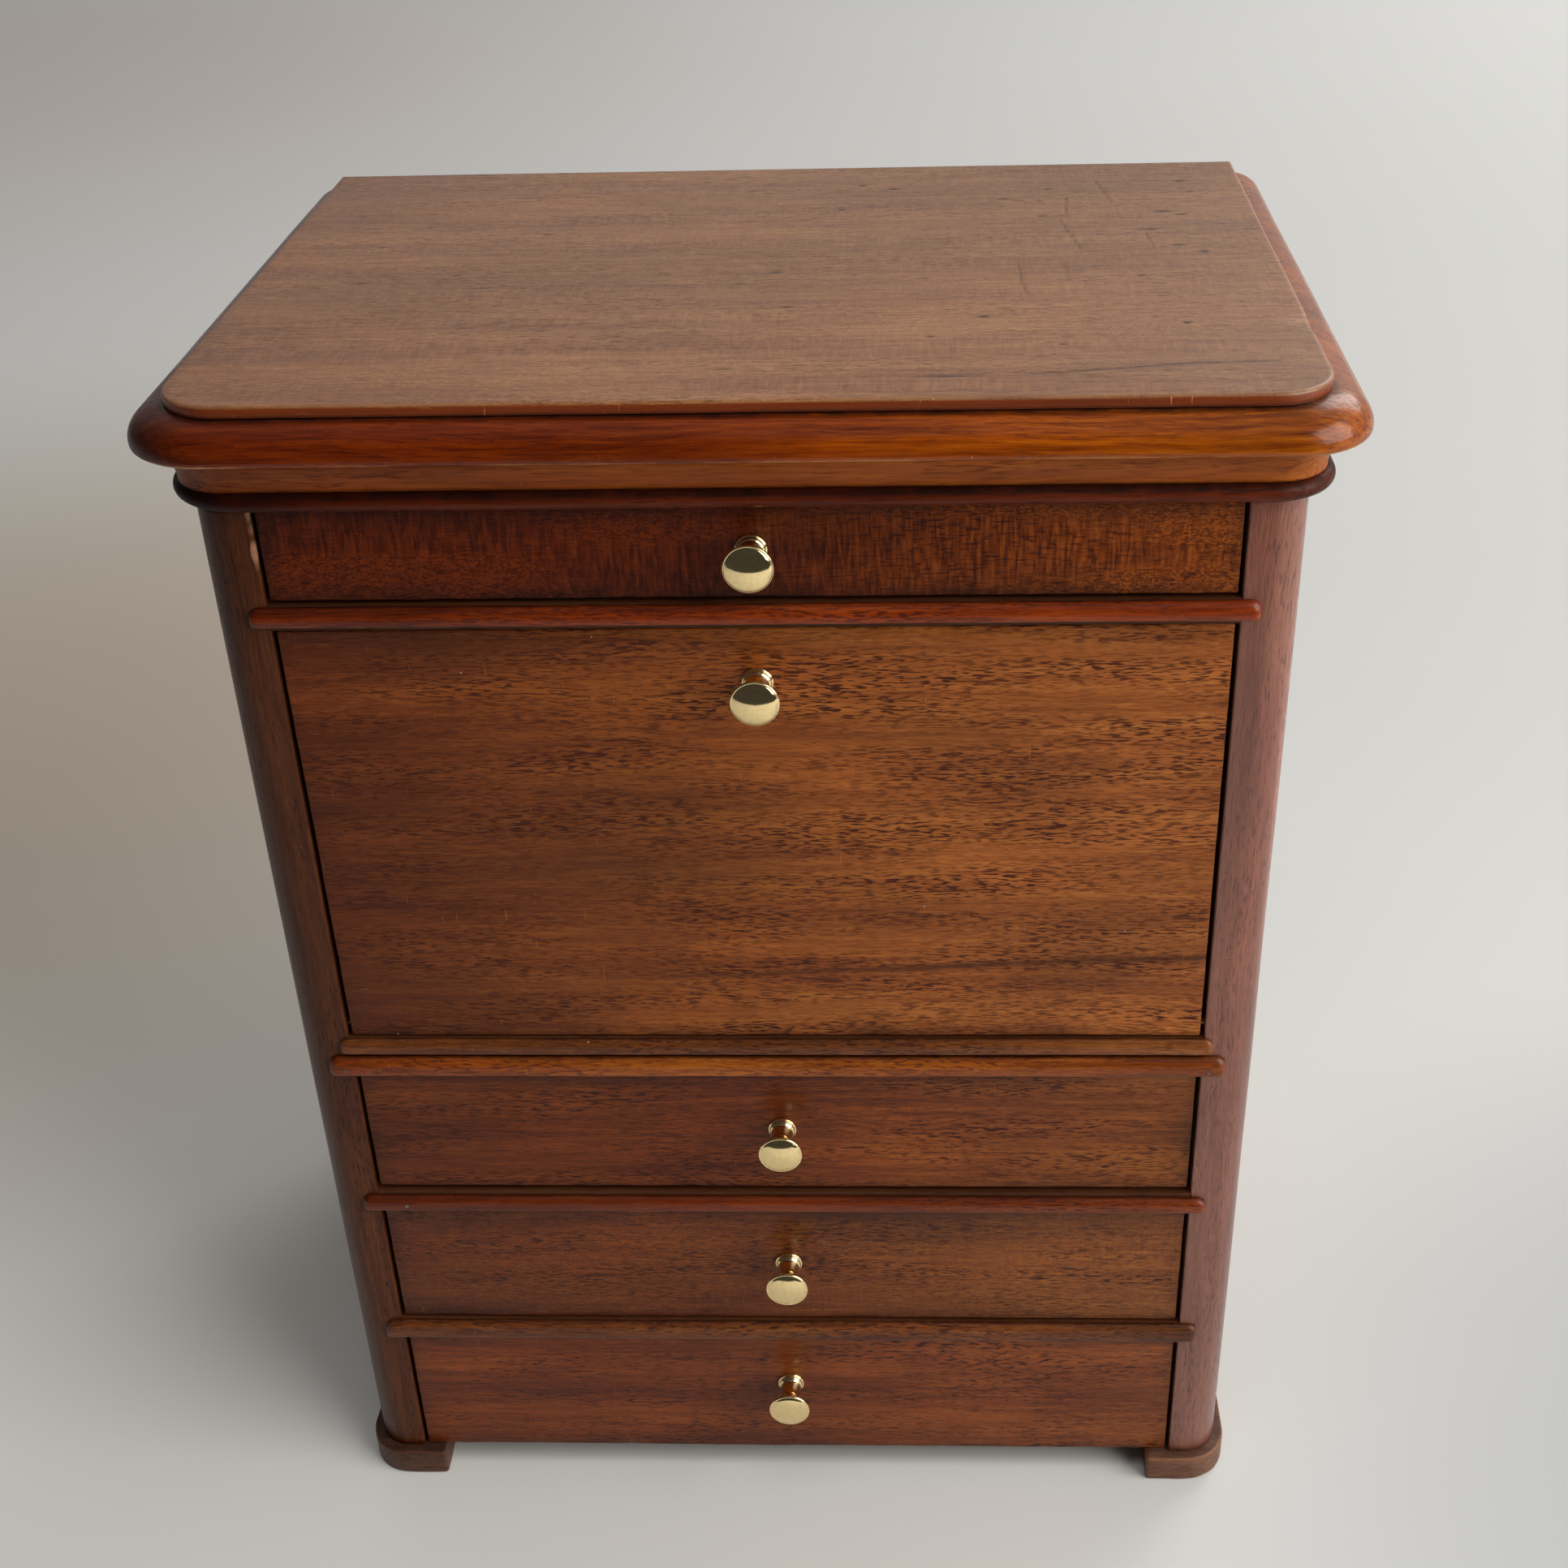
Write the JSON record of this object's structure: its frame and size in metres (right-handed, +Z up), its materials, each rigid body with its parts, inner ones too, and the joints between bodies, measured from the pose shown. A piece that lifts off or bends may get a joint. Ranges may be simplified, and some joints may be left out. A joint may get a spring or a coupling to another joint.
{
  "type": "miniature secretaire chest",
  "caption": "Miniature fall-front chest with a moulded cornice, rounded corner posts, planted beads, drawers above and below the flap, turned brass knobs and low block feet.",
  "frame": {"origin": "middle of the bounding box, on the plane that the feet stand on", "axes": "+X to the right seen from the front, +Y from the front to the back, +Z up"},
  "size_m": [0.298, 0.2032, 0.3722],
  "materials": {
    "mahogany": "polished red-brown mahogany with wear",
    "inner_wood": "stained secondary wood",
    "drawer_lining": "unpolished pale lining wood",
    "brass": "turned and polished brass",
    "nail_steel": "tarnished fine nail"
  },
  "bodies": {
    "case": {"astragal_board": "mahogany", "back_panel": "inner_wood", "bead_1": "mahogany", "bead_2_lower": "mahogany", "bead_2_upper": "mahogany", "bead_3": "mahogany", "bead_4": "mahogany", "bead_brads": "nail_steel", "bottom_board": "inner_wood", "corner_post_left": "mahogany", "corner_post_right": "mahogany", "cove_board": "mahogany", "crown_board": "mahogany", "drawer_guides_left": "inner_wood", "drawer_guides_right": "inner_wood", "fall_pin_left": "brass", "fall_pin_right": "brass", "fall_rail": "mahogany", "fall_stop": "inner_wood", "front_foot_left": "mahogany", "front_foot_right": "mahogany", "low_divider": "mahogany", "mid_divider": "mahogany", "rear_foot_left": "mahogany", "rear_foot_right": "mahogany", "side_panel_left": "mahogany", "side_panel_right": "mahogany", "top_panel": "mahogany", "upper_divider": "mahogany", "writing_floor": "mahogany"},
    "frieze_drawer": {"frieze_drawer_back": "drawer_lining", "frieze_drawer_bottom": "drawer_lining", "frieze_drawer_front": "mahogany", "frieze_drawer_knob": "brass", "frieze_drawer_side_left": "drawer_lining", "frieze_drawer_side_right": "drawer_lining"},
    "upper_drawer": {"upper_drawer_back": "drawer_lining", "upper_drawer_bottom": "drawer_lining", "upper_drawer_front": "mahogany", "upper_drawer_knob": "brass", "upper_drawer_side_left": "drawer_lining", "upper_drawer_side_right": "drawer_lining"},
    "middle_drawer": {"middle_drawer_back": "drawer_lining", "middle_drawer_bottom": "drawer_lining", "middle_drawer_front": "mahogany", "middle_drawer_knob": "brass", "middle_drawer_side_left": "drawer_lining", "middle_drawer_side_right": "drawer_lining"},
    "lower_drawer": {"lower_drawer_back": "drawer_lining", "lower_drawer_bottom": "drawer_lining", "lower_drawer_front": "mahogany", "lower_drawer_knob": "brass", "lower_drawer_side_left": "drawer_lining", "lower_drawer_side_right": "drawer_lining"},
    "flap": {"fall_knob": "brass", "fall_panel": "mahogany"}
  },
  "joints": [
    {"name": "frieze_drawer_slide", "type": "slide", "parent": "case", "child": "frieze_drawer", "axis": [0, -1, 0], "range_m": [0, 0.12]},
    {"name": "upper_drawer_slide", "type": "slide", "parent": "case", "child": "upper_drawer", "axis": [0, -1, 0], "range_m": [0, 0.12]},
    {"name": "middle_drawer_slide", "type": "slide", "parent": "case", "child": "middle_drawer", "axis": [0, -1, 0], "range_m": [0, 0.12]},
    {"name": "lower_drawer_slide", "type": "slide", "parent": "case", "child": "lower_drawer", "axis": [0, -1, 0], "range_m": [0, 0.12]},
    {"name": "flap_hinge", "type": "hinge", "parent": "case", "child": "flap", "pos_m": [0, -0.0854, 0.1834], "axis": [1, 0, 0], "range_deg": [0, 90]}
  ]
}
